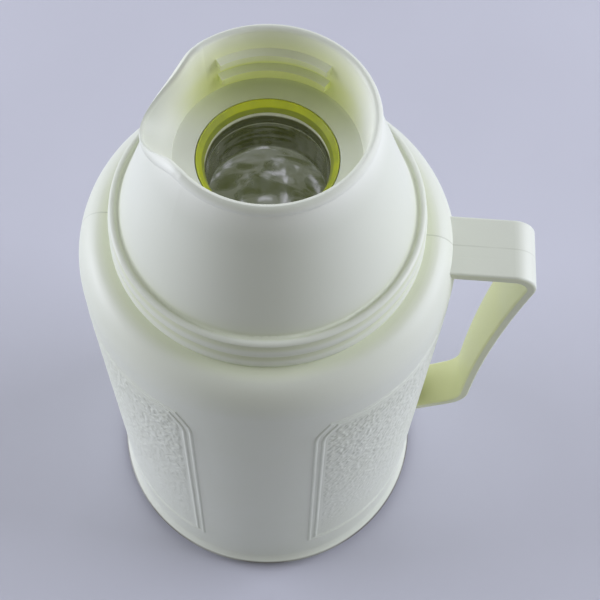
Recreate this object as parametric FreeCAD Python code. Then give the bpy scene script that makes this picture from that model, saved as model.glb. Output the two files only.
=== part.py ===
"""Vacuum jug with a screw-on pouring collar, a strap handle and a glass liner.

Millimetres, +Z up. The origin is the centre of the base on the table.
The handle points to +X and the spout to -X.
"""
import FreeCAD, Part
import math
import os
from FreeCAD import Vector

# Casing
body_radius = 65.0
body_draft = 0.5
casing_wall = 2.2
foot_flare = 2.5
foot_height = 7.0
foot_bead = 1.6
foot_hollow = 0.25
wall_top = 177.5
shoulder_rise = 15.0
ledge_margin = 2.6
spigot_height = 12.5
spigot_wall = 2.4
spigot_chamfer = 0.8

# Panel frames on the spout and handle sides of the casing
panel_half_angle = 70.7
panel_lean = 1.6
panel_bottom = 26.0
panel_headroom = 11.0
panel_corner_drop = 9.5
panel_corner_angle = 4.5
panel_corner_round = 4.0
rib_spacing = 2.7
rib_width = 2.1
rib_height = 0.35
level_rib_height = 0.25
rib_root = 0.4

# Pouring collar
skirt_radius = 52.4
skirt_lean = 0.8
skirt_inset = 4.4
skirt_height = 13.5
skirt_wall = 2.4
skirt_groove_height = 6.0
bead_count = 2
bead_bulge = 0.5
groove_width = 2.8
groove_depth = 0.5
top_bead_drop = 0.5
top_groove_width = 1.5
collar_height = 61.9
collar_wall = 2.3
thread_ring_wall = 2.0
thread_ring_lift = 1.0
thread_gap = 1.6

# Rim, mouth and seat of the collar
mouth_radius = 29.0
mouth_flare = 1.4
mouth_depth = 22.9
rim_width = 2.8
rim_drop = 4.1
rim_undercut = 0.7
rim_fall = 0.3
cup_wall = 2.0
web_width = 0.6
web_drop = 10.4
seat_thickness = 1.9
seat_slope = 1.5
seat_chamfer = 1.0

# Spout
spout_half_angle = 46.5
spout_beak_angle = 34.0
spout_stations = 17
spout_reach = 6.2
spout_dip = 12.3
spout_lip = 1.1
spout_lip_flare = 0.25
spout_floor_lift = 1.0
spout_web_rise = 1.2
spout_web_reach = 2.8
seam_tolerance = 0.01

# Stopper lugs in the mouth
lug_reach = 2.5
lug_half_angle = 36.0
lug_height = 3.4
lug_draft = 0.6
lug_levels = (5.2, 11.6)
lug_root = 0.4

# Glass liner
neck_radius = 19.0
glass_wall = 1.6
vacuum_gap = 2.4
liner_air_gap = 8.2
liner_shoulder_radius = 85.0
liner_neck_fillet = 9.0
liner_headroom = 1.2
lip_height = 3.5
tip_length = 8.0
tip_radius = 4.0
tip_end_radius = 1.5
tip_clearance = 2.0
pad_radius = 5.0
pad_count = 3
pad_tilt = 40.0
pad_clearance = 0.1

# Neck seal
seal_thickness = 1.8
seal_skirt_wall = 2.0
seal_skirt_length = 7.5
seal_inset = 0.4
seal_collar = 2.9
seal_collar_edge = 0.3
seal_bevel_width = 1.4
seal_bevel_height = 1.7
seal_clearance = 0.3

# Base cap and cushion
base_flange_height = 3.0
base_flange_inset = 0.5
base_floor_height = 5.5
base_recess = 2.2
base_foot_width = 7.5
base_thread_land = 1.6
base_thread_length = 13.0
base_boss_wall = 2.4
grip_bar_width = 14.0
cushion_radius = 30.0
cushion_hole = 9.0
cushion_clearance = 0.2

# Handle
handle_rise = 9.5
handle_standoff = 19.6
handle_waist = 90.0
handle_bow = 520.0
handle_foot = 59.6
handle_leg_slope = 35.6
handle_top_corner = 8.5
handle_foot_corner = 16.0
handle_embed = 12.0
strap_thickness = 3.6
strap_edge = 1.0
strap_top_width = 23.2
strap_foot_width = 18.6

# Levels and radii that follow from the sizes above
foot_radius = body_radius + body_draft + foot_flare
foot_top = base_flange_height + foot_height
shoulder_top = wall_top + shoulder_rise
ledge_radius = skirt_radius + ledge_margin
cone_radius = skirt_radius - skirt_inset
cone_bottom = shoulder_top + skirt_height
rim_top = shoulder_top + collar_height
skirt_bore = cone_radius - collar_wall
spigot_radius = skirt_bore - thread_gap
spigot_bore = spigot_radius - spigot_wall
rim_crest = mouth_radius + mouth_flare + rim_width / 2
seat_top = rim_top - mouth_depth
seat_under = seat_top - seat_thickness
spout_floor = seat_top + seat_slope + spout_floor_lift
lip_top = seat_under - seal_thickness - seal_clearance
neck_outer = neck_radius + 2 * glass_wall + vacuum_gap
liner_outer = body_radius - casing_wall - liner_air_gap
liner_inner = liner_outer - 2 * glass_wall - vacuum_gap
liner_bottom = base_floor_height + tip_clearance + tip_length
liner_dome = liner_bottom + liner_outer
base_bore = body_radius + body_draft - casing_wall - base_thread_land
boss_radius = base_bore - thread_gap
boss_top = base_flange_height + base_thread_length
grip_radius = body_radius + handle_standoff
handle_top = wall_top + handle_rise
strap_root = body_radius - handle_embed

AXIS = Vector(0, 0, 1)
ORIGIN = Vector(0, 0, 0)


def at(point):
    """Place an (r, z) point in the XZ half-plane."""
    return Vector(point[0], 0, point[1])


def line(a, b):
    return Part.LineSegment(at(a), at(b)).toShape()


def arc(a, middle, b):
    return Part.Arc(at(a), at(middle), at(b)).toShape()


def on_circle(centre, radius, degrees):
    """Point of a circle in the half-plane; 0 degrees points outwards, 90 up."""
    angle = math.radians(degrees)
    return (centre[0] + radius * math.cos(angle), centre[1] + radius * math.sin(angle))


def blend(first, second, share):
    """Point a given share of the way from one point to another."""
    return tuple(a + (b - a) * share for a, b in zip(first, second))


def outline(start, *steps):
    """Closed wire; a step is a point, or an arc given as (middle, end)."""
    edges = []
    here = start
    for step in steps + (start,):
        if isinstance(step[0], tuple):
            edges.append(arc(here, step[0], step[1]))
            here = step[1]
        elif math.dist(here, step) > 1e-6:
            edges.append(line(here, step))
            here = step
    return Part.Wire(edges)


def turned(wire, degrees=360.0, start=0.0):
    """Solid of revolution about the jug's axis, from a start azimuth."""
    face = Part.Face(wire)
    face.rotate(ORIGIN, AXIS, start)
    return face.revolve(ORIGIN, AXIS, degrees)


def joined(solids, tolerance=0.0):
    """One solid from solids that overlap, or meet within a tolerance."""
    return solids[0].multiFuse(solids[1:], tolerance).removeSplitter()


def only_solid(shape):
    """The single solid inside a shape that a cut or a join leaves."""
    return shape.Solids[0]


def save(shape, node):
    shape.exportStep("parts/" + node + ".step")


def wall_radius(z):
    """Outside radius of the drafted wall at a height."""
    share = (wall_top - z) / (wall_top - foot_top)
    return body_radius + body_draft * share


def quarter_ellipse(top, side):
    """Edge of an ellipse from its top point to its outermost point."""
    centre = at((top[0], side[1]))
    upright = top[1] - side[1] > side[0] - top[0]
    long_end, short_end = (top, side) if upright else (side, top)
    return Part.Ellipse(at(long_end), at(short_end), centre).toShape(0, math.pi / 2)


def casing_foot():
    """Edges of the flared foot, from the thread land out to the drafted wall."""
    bottom = base_flange_height
    centre = (foot_radius - foot_bead, bottom + foot_bead)
    under = on_circle(centre, foot_bead, -90)
    widest = on_circle(centre, foot_bead, 0)
    wall = (wall_radius(foot_top), foot_top)
    hollow = (wall[0] + foot_hollow * foot_flare, (widest[1] + wall[1]) / 2)
    return [
        line((base_bore, bottom), under),
        arc(under, on_circle(centre, foot_bead, -45), widest),
        arc(widest, hollow, wall),
    ]


def casing_shell():
    """Turned casing: foot, drafted wall, rounded shoulder, ledge and neck spigot."""
    under_ledge = shoulder_top - casing_wall
    spigot_top = shoulder_top + spigot_height
    land_top = boss_top + base_thread_land
    inside = (body_radius - casing_wall, wall_top)
    land = (wall_radius(land_top) - casing_wall, land_top + base_thread_land)
    corners = [
        (ledge_radius, shoulder_top),
        (spigot_radius, shoulder_top),
        (spigot_radius, spigot_top - spigot_chamfer),
        (spigot_radius - spigot_chamfer, spigot_top),
        (spigot_bore, spigot_top),
        (spigot_bore, under_ledge),
        (ledge_radius, under_ledge),
    ]
    edges = casing_foot()
    edges.append(line((wall_radius(foot_top), foot_top), (body_radius, wall_top)))
    edges.append(quarter_ellipse(corners[0], (body_radius, wall_top)))
    edges.extend(line(a, b) for a, b in zip(corners, corners[1:]))
    edges.append(quarter_ellipse(corners[-1], inside))
    edges.append(line(inside, land))
    edges.append(line(land, (base_bore, land_top)))
    edges.append(line((base_bore, land_top), (base_bore, base_flange_height)))
    return turned(Part.Wire(Part.__sortEdges__(edges)))


def on_wall(azimuth, z):
    """Point on the outside of the wall."""
    angle = math.radians(azimuth)
    radius = wall_radius(z)
    return Vector(radius * math.cos(angle), radius * math.sin(angle), z)


def upright_rib(places):
    """Low round bar along (azimuth, z) places on the wall, with its root in the wall."""
    path = [on_wall(*place) for place in places]
    along = (path[1] - path[0]).normalize()
    outward = Vector(path[0].x, path[0].y, 0).normalize()
    across = along.cross(outward).normalize() * (rib_width / 2)
    path[0] = path[0] - along * (rib_width / 4)
    crown = path[0] + outward * rib_height
    root = path[0] - outward * rib_root
    arch = Part.Arc(root - across, crown, root + across).toShape()
    sweep = Part.BRepOffsetAPI.MakePipeShell(Part.makePolygon(path))
    sweep.setTransitionMode(1)
    sweep.add(Part.Wire([arch, Part.makeLine(root + across, root - across)]))
    sweep.build()
    sweep.makeSolid()
    return sweep.shape()


def level_rib(z, half_angle):
    """Level round bar on the wall, over an arc centred on +X that runs just past its ends."""
    low = z - rib_width / 2
    high = z + rib_width / 2
    radius = wall_radius(z)
    root = radius - rib_root
    section = outline((root, low), ((radius + level_rib_height, z), (root, high)))
    reach = half_angle + math.degrees(rib_width / 4 / radius)
    return turned(section, 2 * reach, -reach)


def rounded_corner(before, corner, after):
    """Three places on the round that takes the corner of a frame line."""
    enter = blend(corner, before, panel_corner_round / (corner[1] - before[1]))
    leave = blend(corner, after, panel_corner_round / (after[1] - corner[1]))
    return [enter, blend(corner, blend(enter, leave, 0.5), 0.5), leave]


def panel_frame(inset):
    """One frame line of the +X panel, a given distance inside its outer line."""
    side = panel_half_angle - math.degrees(inset / body_radius)
    low_side = side - panel_lean
    top_side = side - panel_corner_angle
    low = panel_bottom + inset
    top = wall_top - panel_headroom - inset
    corner = wall_top - panel_headroom - panel_corner_drop - inset / 2
    ribs = [level_rib(top, top_side), level_rib(low, low_side)]
    foot = (low_side, low)
    head = (top_side, top)
    places = [foot] + rounded_corner(foot, (side, corner), head) + [head]
    ribs.append(upright_rib(places))
    ribs.append(upright_rib([(-azimuth, z) for azimuth, z in places]))
    return ribs


def casing():
    """Casing with the two frame lines of each side panel raised on its wall."""
    ribs = panel_frame(0.0) + panel_frame(rib_spacing)
    for rib in list(ribs):
        mirrored = rib.copy()
        mirrored.rotate(ORIGIN, AXIS, 180)
        ribs.append(mirrored)
    return only_solid(joined([casing_shell()] + ribs))


def leg_height(x, inset):
    """Height of the strap's sloping lower leg, a given distance inside its outer line."""
    slope = math.radians(handle_leg_slope)
    return handle_foot + (x - body_radius) * math.tan(slope) + inset / math.cos(slope)


def strap_path(inset):
    """Strap's side view a given distance inside its outer line, from its upper root down."""
    bow = (grip_radius + handle_bow, handle_waist)
    upper_z = handle_top - handle_top_corner
    upper_reach = math.sqrt((handle_bow + handle_top_corner) ** 2 - (upper_z - handle_waist) ** 2)
    upper = (bow[0] - upper_reach, upper_z)
    lean = math.degrees(math.atan2(handle_waist - upper_z, upper_reach))
    lower_x = grip_radius - handle_foot_corner
    lower = (lower_x, leg_height(lower_x, handle_foot_corner))
    tilt = handle_leg_slope - 90

    def corner(centre, radius, start, end):
        return arc(*(on_circle(centre, radius, angle) for angle in (start, (start + end) / 2, end)))

    upper_round = handle_top_corner - inset
    lower_round = handle_foot_corner - inset
    bow_round = handle_bow + inset
    return [
        line((strap_root, handle_top - inset), on_circle(upper, upper_round, 90)),
        corner(upper, upper_round, 90, lean),
        corner(bow, bow_round, 180 + lean, 180),
        line(on_circle(bow, bow_round, 180), on_circle(lower, lower_round, 0)),
        corner(lower, lower_round, 0, tilt),
        line(on_circle(lower, lower_round, tilt), (strap_root, leg_height(strap_root, inset))),
    ]


def strap_wedge():
    """Solid between the strap's two sides, which lean together from its top to its foot."""
    lean = (strap_top_width - strap_foot_width) / (handle_top - handle_foot)
    corners = []
    for hand, z in ((1, 0.0), (1, rim_top), (-1, rim_top), (-1, 0.0), (1, 0.0)):
        half = (strap_top_width - lean * (handle_top - z)) / 2
        corners.append(Vector(strap_root, hand * half, z))
    return Part.Face(Part.makePolygon(corners)).extrude(Vector(grip_radius, 0, 0))


def handle(casing_body):
    """Bent strap with rounded edges, cut to sit on the casing."""
    outer = strap_path(0.0)
    inner = strap_path(strap_thickness)
    foot = [(strap_root, leg_height(strap_root, inset)) for inset in (0.0, strap_thickness)]
    ends = [line((strap_root, handle_top), (strap_root, handle_top - strap_thickness)), line(*foot)]
    side_view = Part.Face(Part.Wire(Part.__sortEdges__(outer + inner + ends)))
    side_view.translate(Vector(0, -strap_top_width, 0))
    strap = side_view.extrude(Vector(0, 2 * strap_top_width, 0)).common(strap_wedge())
    strap = strap.makeFillet(strap_edge, long_edges(strap))
    return max(strap.cut(casing_body).Solids, key=lambda solid: solid.Volume)


def long_edges(strap):
    """Edges that run along the strap."""
    chosen = []
    for edge in strap.Edges:
        points = edge.discretize(3)
        sideways = max(abs(point.y - points[0].y) for point in points)
        at_root = max(point.x for point in points) < strap_root + strap_edge
        if sideways < strap_foot_width / 2 and not at_root:
            chosen.append(edge)
    return chosen


def cone_at(z):
    """Outside radius of the collar's cone at a height."""
    neck_z = rim_top - rim_drop
    neck_r = rim_crest + rim_width / 2 - rim_undercut
    share = (z - cone_bottom) / (neck_z - cone_bottom)
    return cone_radius + (neck_r - cone_radius) * share


def bowed(start, end, bulge):
    """Arc step to the end point, bowed out from the line to it by a given amount."""
    side = Vector(end[1] - start[1], start[0] - end[0], 0).normalize() * bulge
    middle = blend(start, end, 0.5)
    return (middle[0] + side.x, middle[1] + side.y), end


def skirt_beads():
    """Beads and hollow grooves up the skirt, then over its top bead to the cone, as arc steps."""
    foot = (skirt_radius, shoulder_top)
    brow = (skirt_radius - skirt_lean, cone_bottom - top_bead_drop)
    pitch = math.dist(foot, brow) / bead_count
    steps = []
    for index in range(bead_count):
        low = blend(foot, brow, index / bead_count)
        edge = blend(foot, brow, (index + 1 - groove_width / pitch) / bead_count)
        high = blend(foot, brow, (index + 1) / bead_count)
        steps.append(bowed(low, edge, bead_bulge))
        steps.append(bowed(edge, high, -groove_depth))
    ledge = (cone_radius + top_groove_width, cone_bottom)
    steps.append(bowed(brow, ledge, bead_bulge))
    steps.append(bowed(ledge, (cone_radius, cone_bottom), -groove_depth))
    return steps


def rim_points(beak, dip):
    """Neck, bead, crest and inner edge of the rim; both shares are 1 at the spout's centre."""
    crest = (rim_crest + spout_reach * beak, rim_top - spout_dip * dip)
    half = rim_width / 2
    neck_z = crest[1] - rim_drop
    bead = blend((half, -half), (spout_lip_flare, -spout_lip), beak)
    edge = blend((-half, -half), (-spout_lip, -spout_lip), beak)
    fall = (rim_fall - 1, -rim_fall)
    shoulder = blend((fall[0] * half, fall[1] * half), (fall[0] * spout_lip, fall[1] * spout_lip), beak)
    places = [(crest[0] + step[0], crest[1] + step[1]) for step in (bead, shoulder, edge)]
    return (cone_at(neck_z), neck_z), places[0], crest, places[1], places[2]


def upper_section(beak, dip):
    """Section of the collar above its spout floor, for a share of the spout's reach and dip."""
    neck, bead, crest, shoulder, edge = rim_points(beak, dip)
    cup_outer = mouth_radius + cup_wall
    plain_web = (cup_outer + web_width / 2, rim_top - web_drop)
    spout_web = (cup_outer + spout_web_reach, spout_floor + spout_web_rise)
    web = (blend(plain_web, spout_web, beak)[0], blend(plain_web, spout_web, dip)[1])
    return outline(
        (cone_at(spout_floor), spout_floor),
        neck,
        (bead, crest),
        (shoulder, edge),
        (mouth_radius, spout_floor),
        (cup_outer, spout_floor),
        (web[0] - web_width / 2, web[1]),
        (web[0] + web_width / 2, web[1]),
        (cone_at(spout_floor) - collar_wall, spout_floor),
    )


def swell(turn, half_angle):
    """Share of the spout at an angle off its centre line, falling smoothly to 0."""
    return 0.5 + 0.5 * math.cos(math.pi * min(abs(turn) / half_angle, 1.0))


def spout_sector():
    """Sector of the rim round -X, lofted through stations whose rim dips and reaches out."""
    stations = []
    for index in range(spout_stations):
        turn = spout_half_angle * (2 * index / (spout_stations - 1) - 1)
        section = upper_section(swell(turn, spout_beak_angle), swell(turn, spout_half_angle))
        section.rotate(ORIGIN, AXIS, 180 + turn)
        stations.append(section)
    return Part.makeLoft(stations, True)


def collar_skirt():
    """Beaded skirt with its thread ring, and the cone up to the spout floor."""
    groove_r = skirt_bore + thread_ring_wall
    groove_z = shoulder_top + skirt_groove_height
    skirt_inner = skirt_radius - skirt_wall
    groove_side = skirt_inner - skirt_lean * skirt_groove_height / skirt_height
    ring_z = shoulder_top + thread_ring_lift
    steps = skirt_beads() + [
        (cone_at(spout_floor), spout_floor),
        (cone_at(spout_floor) - collar_wall, spout_floor),
        (skirt_bore, cone_bottom),
        (skirt_bore, ring_z),
        (groove_r, ring_z),
        (groove_r, groove_z),
        (groove_side, groove_z),
        (skirt_inner, shoulder_top),
    ]
    return turned(outline((skirt_radius, shoulder_top), *steps))


def mouth_seat():
    """Bottom of the mouth: a sloping seat with the hole for the seal's collar."""
    cup_outer = mouth_radius + cup_wall
    hole = neck_radius + seal_collar + seal_clearance
    return turned(outline(
        (mouth_radius, spout_floor),
        (mouth_radius, seat_top + seat_slope),
        (hole, seat_top),
        (hole, seat_under),
        (cup_outer - seat_chamfer, seat_under),
        (cup_outer, seat_under + seat_chamfer),
        (cup_outer, spout_floor),
    ))


def mouth_wall(z):
    """Radius of the mouth's flared wall at a level."""
    edge_z = rim_top - rim_width / 2
    return mouth_radius + mouth_flare * (z - spout_floor) / (edge_z - spout_floor)


def stopper_lug(azimuth, level):
    """Thread-like lug on the mouth's wall, centred a given distance above the seat's edge."""
    middle = seat_top + seat_slope + level
    low = middle - lug_height / 2
    high = middle + lug_height / 2
    tip = mouth_wall(middle) - lug_reach
    section = outline((mouth_wall(low) + lug_root, low), (tip, low + lug_draft),
                      (tip, high - lug_draft), (mouth_wall(high) + lug_root, high))
    return turned(section, 2 * lug_half_angle, azimuth - lug_half_angle)


def collar():
    """Pouring collar: skirt and cone, seat, plain rim, spout sector and stopper lugs."""
    rim = turned(upper_section(0.0, 0.0), 360 - 2 * spout_half_angle, 180 + spout_half_angle)
    lugs = [stopper_lug(azimuth, level) for azimuth in (90, 270) for level in lug_levels]
    return only_solid(joined([collar_skirt(), mouth_seat(), rim, spout_sector()] + lugs, seam_tolerance))


def neck_seal():
    """Soft ring that caps the glass lip and shows inside the collar's seat."""
    bottom = lip_top + seal_clearance
    skirt_in = neck_outer + seal_clearance
    skirt_out = skirt_in + seal_skirt_wall
    collar_out = neck_radius + seal_collar
    collar_in = collar_out - seal_collar_edge
    return turned(outline(
        (neck_radius + seal_inset, bottom),
        (skirt_in, bottom),
        (skirt_in, bottom - seal_skirt_length),
        (skirt_out, bottom - seal_skirt_length),
        (skirt_out, seat_under),
        (collar_out, seat_under),
        (collar_out, seat_top),
        (collar_in, seat_top),
        (collar_in - seal_bevel_width, seat_top - seal_bevel_height),
    ))


def flask_path(offset, top):
    """Flask wall a given distance outside the inner surface, from its neck down to the axis."""
    hub = liner_inner - liner_shoulder_radius
    clear = spigot_bore - hub
    outer_shoulder = liner_shoulder_radius + liner_outer - liner_inner
    under_ledge = shoulder_top - casing_wall - liner_headroom
    shoulder_z = under_ledge - math.sqrt(outer_shoulder ** 2 - clear ** 2)
    reach = liner_shoulder_radius + liner_neck_fillet
    across = neck_radius + liner_neck_fillet - hub
    lean = math.degrees(math.acos(across / reach))
    shoulder = (hub, shoulder_z)
    fillet = on_circle(shoulder, reach, lean)
    curl = liner_neck_fillet - offset
    round_off = liner_shoulder_radius + offset
    body = liner_inner + offset
    dome = (0.0, liner_dome)
    tangent = on_circle(shoulder, round_off, lean)
    return [
        line((neck_radius + offset, top), (neck_radius + offset, fillet[1])),
        arc((neck_radius + offset, fillet[1]), on_circle(fillet, curl, 180 + lean / 2), tangent),
        arc(tangent, on_circle(shoulder, round_off, lean / 2), (body, shoulder_z)),
        line((body, shoulder_z), (body, liner_dome)),
        arc((body, liner_dome), on_circle(dome, body, -45), (0.0, liner_dome - body)),
    ]


def flask(inner_offset, outer_offset, top, mouth_edges):
    """Flask wall between two offsets, closed at its neck by the given edges."""
    edges = flask_path(inner_offset, top) + flask_path(outer_offset, top) + mouth_edges
    edges.append(line((0.0, liner_dome - liner_inner - inner_offset),
                      (0.0, liner_dome - liner_inner - outer_offset)))
    return turned(Part.Wire(Part.__sortEdges__(edges)))


def inner_flask():
    """Inner glass wall, which carries the rolled lip."""
    joint = lip_top - lip_height
    half = (neck_outer - neck_radius) / 2
    crest = (neck_radius + half, lip_top)
    low = lip_top - half
    lean = half * math.sqrt(0.5)
    left = (crest[0] - lean, low + lean)
    right = (crest[0] + lean, low + lean)
    mouth_edges = [
        line((neck_radius, joint), (neck_radius, low)),
        arc((neck_radius, low), left, crest),
        arc(crest, right, (neck_outer, low)),
        line((neck_outer, low), (neck_outer, joint)),
        line((neck_outer, joint), (neck_radius + glass_wall, joint)),
    ]
    return flask(0.0, glass_wall, joint, mouth_edges)


def outer_flask():
    """Outer glass wall, with the sealed tip under its dome."""
    joint = lip_top - lip_height
    inside = glass_wall + vacuum_gap
    mouth_edges = [line((neck_radius + inside, joint), (neck_outer, joint))]
    wall = flask(inside, inside + glass_wall, joint, mouth_edges)
    root = liner_bottom + glass_wall / 2
    end = liner_bottom - tip_length
    tip = turned(outline(
        (0.0, root), (tip_radius, root), (tip_end_radius, end + tip_end_radius),
        (on_circle((0.0, end + tip_end_radius), tip_end_radius, -45), (0.0, end)),
    ))
    return only_solid(joined([wall, tip]))


def spacer_pads():
    """Round pads between the two glass domes, evenly spaced."""
    inner = liner_inner + glass_wall + pad_clearance
    outer = inner + vacuum_gap - 2 * pad_clearance
    centre = Vector(0, 0, liner_dome)
    shell = Part.makeSphere(outer, centre).cut(Part.makeSphere(inner, centre))
    tilt = math.radians(pad_tilt)
    down = Vector(math.sin(tilt), 0, -math.cos(tilt))
    pads = []
    for index in range(pad_count):
        pad = shell.common(Part.makeCylinder(pad_radius, liner_outer, centre, down))
        pad.rotate(ORIGIN, AXIS, index * 360.0 / pad_count)
        pads.extend(pad.Solids)
    return Part.makeCompound(pads)


def cushion():
    """Rubber cup between the base cap's floor and the glass dome."""
    seat = liner_outer + cushion_clearance

    def on_seat(radius):
        return (radius, liner_dome - math.sqrt(seat ** 2 - radius ** 2))

    middle = on_seat((cushion_hole + cushion_radius) / 2)
    return turned(outline(
        (cushion_hole, base_floor_height), (cushion_radius, base_floor_height),
        on_seat(cushion_radius), (middle, on_seat(cushion_hole)),
    ))


def base_cap():
    """Screw-in base: foot ring, threaded boss, floor and a flush grip bar across its recess."""
    flange = body_radius + body_draft - base_flange_inset
    recess = flange - base_foot_width
    boss_in = boss_radius - base_boss_wall
    dish = turned(outline(
        (0.0, base_recess), (recess - base_recess / 2, base_recess), (recess, 0.0), (flange, 0.0),
        (flange, base_flange_height), (boss_radius, base_flange_height), (boss_radius, boss_top),
        (boss_in, boss_top), (boss_in, base_floor_height), (0.0, base_floor_height),
    ))
    half = grip_bar_width / 2
    corner = Vector(-recess, -half, 0)
    bar = Part.makeBox(2 * recess, grip_bar_width, base_recess + base_recess / 2, corner)
    bar = bar.common(Part.makeCylinder(recess + base_recess / 2, base_floor_height))
    return only_solid(joined([dish, bar]))


os.makedirs("parts", exist_ok=True)
casing_body = casing()
save(casing_body, "body_casing")
save(handle(casing_body), "handle")
save(collar(), "spout_collar")
save(neck_seal(), "neck_seal")
save(inner_flask(), "liner_inner_flask")
save(outer_flask(), "liner_outer_flask")
save(spacer_pads(), "liner_spacer_pads")
save(cushion(), "base_cushion")
save(base_cap(), "base_cap")
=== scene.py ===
"""Vacuum jug dressed for its studio picture: finishes, stippled panels, screw threads, light and camera.

Metres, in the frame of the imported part: +Z up, the handle to +X and the spout to -X.
"""
import logging
import math
from dataclasses import dataclass
from enum import Enum
from typing import Any, Optional, Union

import bpy
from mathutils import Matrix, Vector


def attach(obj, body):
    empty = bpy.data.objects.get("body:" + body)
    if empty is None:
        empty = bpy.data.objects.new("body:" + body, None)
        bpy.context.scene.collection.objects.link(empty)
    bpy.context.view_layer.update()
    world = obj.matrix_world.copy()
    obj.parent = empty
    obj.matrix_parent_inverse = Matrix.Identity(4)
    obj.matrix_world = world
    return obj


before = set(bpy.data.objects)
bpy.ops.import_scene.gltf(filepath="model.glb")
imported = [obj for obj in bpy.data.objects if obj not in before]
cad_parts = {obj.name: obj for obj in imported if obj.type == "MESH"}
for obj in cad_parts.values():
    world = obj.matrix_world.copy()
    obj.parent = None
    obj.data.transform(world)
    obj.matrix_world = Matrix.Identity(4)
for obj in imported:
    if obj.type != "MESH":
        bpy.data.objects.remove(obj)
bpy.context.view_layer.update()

log = logging.getLogger("vacuum_jug")

Colour = tuple[float, float, float]
Place = tuple[float, float, float]
Number = Union[float, "Value"]

MILLIMETRE = 0.001
COLLAR_PITCH = 5.0 * MILLIMETRE
BASE_PITCH = 4.0 * MILLIMETRE
BLACK: Colour = (0.0, 0.0, 0.0)


class Body(Enum):
    """Bodies that a piece can ride on."""

    CASING = "casing"
    COLLAR = "collar"
    BASE = "base"


class Piece(Enum):
    """Ivory pieces, each with its own marks of age and its painted light and shade."""

    CASING = "casing"
    PANEL = "panel"
    HANDLE = "handle"
    COLLAR = "collar"
    BASE = "base"


class Flask(Enum):
    """Walls of the double flask."""

    INNER = "inner"
    OUTER = "outer"


class Side(Enum):
    """Sides of the casing that carry a stippled panel, with their turn about the axis."""

    HANDLE = 0.0
    SPOUT = math.pi


@dataclass(frozen=True)
class Step:
    """A step from one level to another, which may be the lower one, with its result at each."""

    first: float
    last: float
    start: float = 0.0
    end: float = 1.0

    @classmethod
    def mm(cls, first: float, last: float, start: float = 0.0, end: float = 1.0) -> "Step":
        """Step between two lengths in millimetres."""
        return cls(first * MILLIMETRE, last * MILLIMETRE, start, end)


@dataclass(frozen=True)
class Cloud:
    """Cloudy noise: blobs per metre, octaves and distortion, or a scale along each axis and its turn."""

    scale: float = 1.0
    detail: float = 2.0
    warp: float = 0.0
    stretch: Optional[Place] = None
    turn: Place = (0.0, 0.0, 0.0)


def pick(sockets: Any, key: Union[int, str]) -> bpy.types.NodeSocket:
    """Find a socket.

    Args:
        sockets: Inputs or outputs of a node.
        key: Place in the list, identifier or name.

    Returns:
        The first socket that matches.
    """
    if isinstance(key, int):
        return sockets[key]
    return next(socket for socket in sockets if key in (socket.identifier, socket.name))


class Value:
    """A node's output in Python arithmetic; each operator adds one Math node."""

    def __init__(self, graph: "Graph", socket: bpy.types.NodeSocket) -> None:
        """Keep the output socket and the graph that takes the Math nodes."""
        self.graph = graph
        self.socket = socket

    def math(self, operation: str, first: Number, second: Number = 0.0) -> "Value":
        """Math node of two numbers.

        Args:
            operation: Name of the operation.
            first: First number.
            second: Second number, where the operation takes one.

        Returns:
            The result.
        """
        sockets = {"Value": first, "Value_001": second}
        return self.graph.node("ShaderNodeMath", {"operation": operation}, sockets)

    def __add__(self, other: Number) -> "Value":
        """Sum."""
        return self.math("ADD", self, other)

    __radd__ = __add__

    def __sub__(self, other: Number) -> "Value":
        """Difference."""
        return self.math("SUBTRACT", self, other)

    def __rsub__(self, other: Number) -> "Value":
        """Difference from a plain number."""
        return self.math("SUBTRACT", other, self)

    def __mul__(self, other: Number) -> "Value":
        """Product."""
        return self.math("MULTIPLY", self, other)

    __rmul__ = __mul__

    def __truediv__(self, other: Number) -> "Value":
        """Quotient."""
        return self.math("DIVIDE", self, other)

    def __rtruediv__(self, other: Number) -> "Value":
        """Quotient of a plain number by this one."""
        return self.math("DIVIDE", other, self)

    def __abs__(self) -> "Value":
        """Size without its sign."""
        return self.math("ABSOLUTE", self)

    def least(self, other: Number) -> "Value":
        """The smaller of two numbers."""
        return self.math("MINIMUM", self, other)

    def most(self, other: Number) -> "Value":
        """The larger of two numbers."""
        return self.math("MAXIMUM", self, other)

    def snapped(self, count: float) -> "Value":
        """Nearest of evenly spaced levels, a given number of them to one unit."""
        return self.math("ROUND", self * count) / count

    def rise(self, step: Step) -> "Value":
        """Smooth step."""
        return self.ramp(step, "SMOOTHSTEP")

    def share(self, step: Step) -> "Value":
        """Straight step."""
        return self.ramp(step, "LINEAR")

    def ramp(self, step: Step, kind: str) -> "Value":
        """Step that keeps its end results beyond its two levels.

        Args:
            step: Levels and results.
            kind: Name of the interpolation.

        Returns:
            The result.
        """
        sockets = {
            "Value": self,
            "From Min": step.first,
            "From Max": step.last,
            "To Min": step.start,
            "To Max": step.end,
        }
        return self.graph.node("ShaderNodeMapRange", {"interpolation_type": kind}, sockets)


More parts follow.
